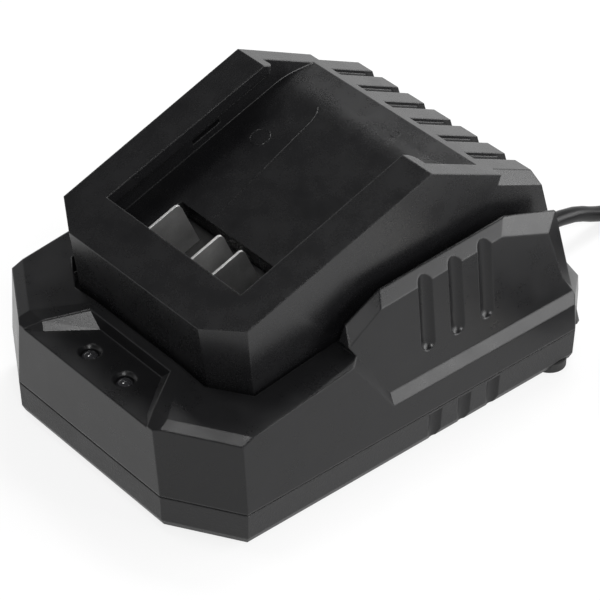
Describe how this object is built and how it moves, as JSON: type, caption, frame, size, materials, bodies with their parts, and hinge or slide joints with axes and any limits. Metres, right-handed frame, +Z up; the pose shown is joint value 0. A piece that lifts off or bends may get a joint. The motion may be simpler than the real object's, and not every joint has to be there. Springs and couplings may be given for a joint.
{
  "type": "power tool battery charger",
  "caption": "Black eight-sided battery charger with a sloping slide-in dock, contact blades, two indicator lights, finger grips, rear vents and a mains lead with a plug.",
  "frame": {"origin": "on the table, under the middle of the case, midway between its sides and its front and rear walls", "axes": "+X to the right seen from the front with the two lights, +Y to the back where the lead comes out, +Z up"},
  "size_m": [0.1666, 0.2772, 0.0869],
  "materials": {
    "case_plastic": "fine textured black ABS",
    "dock_plastic": "fine textured black ABS",
    "block_plastic": "black glass-filled nylon",
    "contact_metal": "nickel-plated spring strip",
    "rubber": "soft black rubber",
    "screw_steel": "zinc-plated steel",
    "clamp_plastic": "black nylon",
    "lens": "dark smoked polycarbonate",
    "led": "clear epoxy",
    "board": "green solder mask on glass epoxy",
    "ferrite": "sintered dark grey ferrite",
    "bobbin": "phenolic moulding",
    "copper": "enamelled copper wire under yellow tape",
    "can_sleeve": "shrink sleeve on an aluminium can",
    "aluminium": "plain extruded aluminium",
    "package": "moulded black epoxy",
    "fuse_glass": "glass tube fuse",
    "film_box": "yellow film capacitor box",
    "disc_ceramic": "coated ceramic disc",
    "resistor": "lacquered resistor body",
    "lead_insulation": "PVC insulated wire",
    "cord": "black PVC sheath",
    "boot": "black PVC moulding",
    "plug": "black PVC moulding",
    "pin_brass": "nickel-plated brass",
    "pin_sleeve": "black nylon sleeve"
  },
  "bodies": {
    "charger": {"lower_shell": "case_plastic", "upper_shell": "case_plastic", "battery_dock": "dock_plastic", "terminal_block": "block_plastic", "contact_blades": "contact_metal", "rubber_feet": "rubber", "case_screws": "screw_steel", "dock_screws": "screw_steel", "board_screws": "screw_steel", "block_screws": "screw_steel", "cord_clamp": "clamp_plastic", "clamp_screws": "screw_steel", "light_pipes": "lens", "status_leds": "led", "circuit_board": "board", "transformer_core": "ferrite", "transformer_bobbin": "bobbin", "transformer_winding": "copper", "bulk_capacitor": "can_sleeve", "output_capacitors": "can_sleeve", "primary_heatsink": "aluminium", "secondary_heatsink": "aluminium", "power_transistor": "package", "output_rectifier": "package", "fuse": "fuse_glass", "line_capacitor": "film_box", "bridge_rectifier": "package", "choke_core": "ferrite", "choke_windings": "copper", "varistor": "disc_ceramic", "safety_capacitor": "disc_ceramic", "output_coil": "copper", "control_chips": "package", "resistors": "resistor", "battery_leads": "lead_insulation", "mains_leads": "lead_insulation", "strain_relief": "boot", "mains_cord": "cord", "cord_coil": "cord", "cord_tail": "cord", "plug_body": "plug", "plug_pins": "pin_brass", "pin_sleeves": "pin_sleeve"}
  },
  "joints": []
}
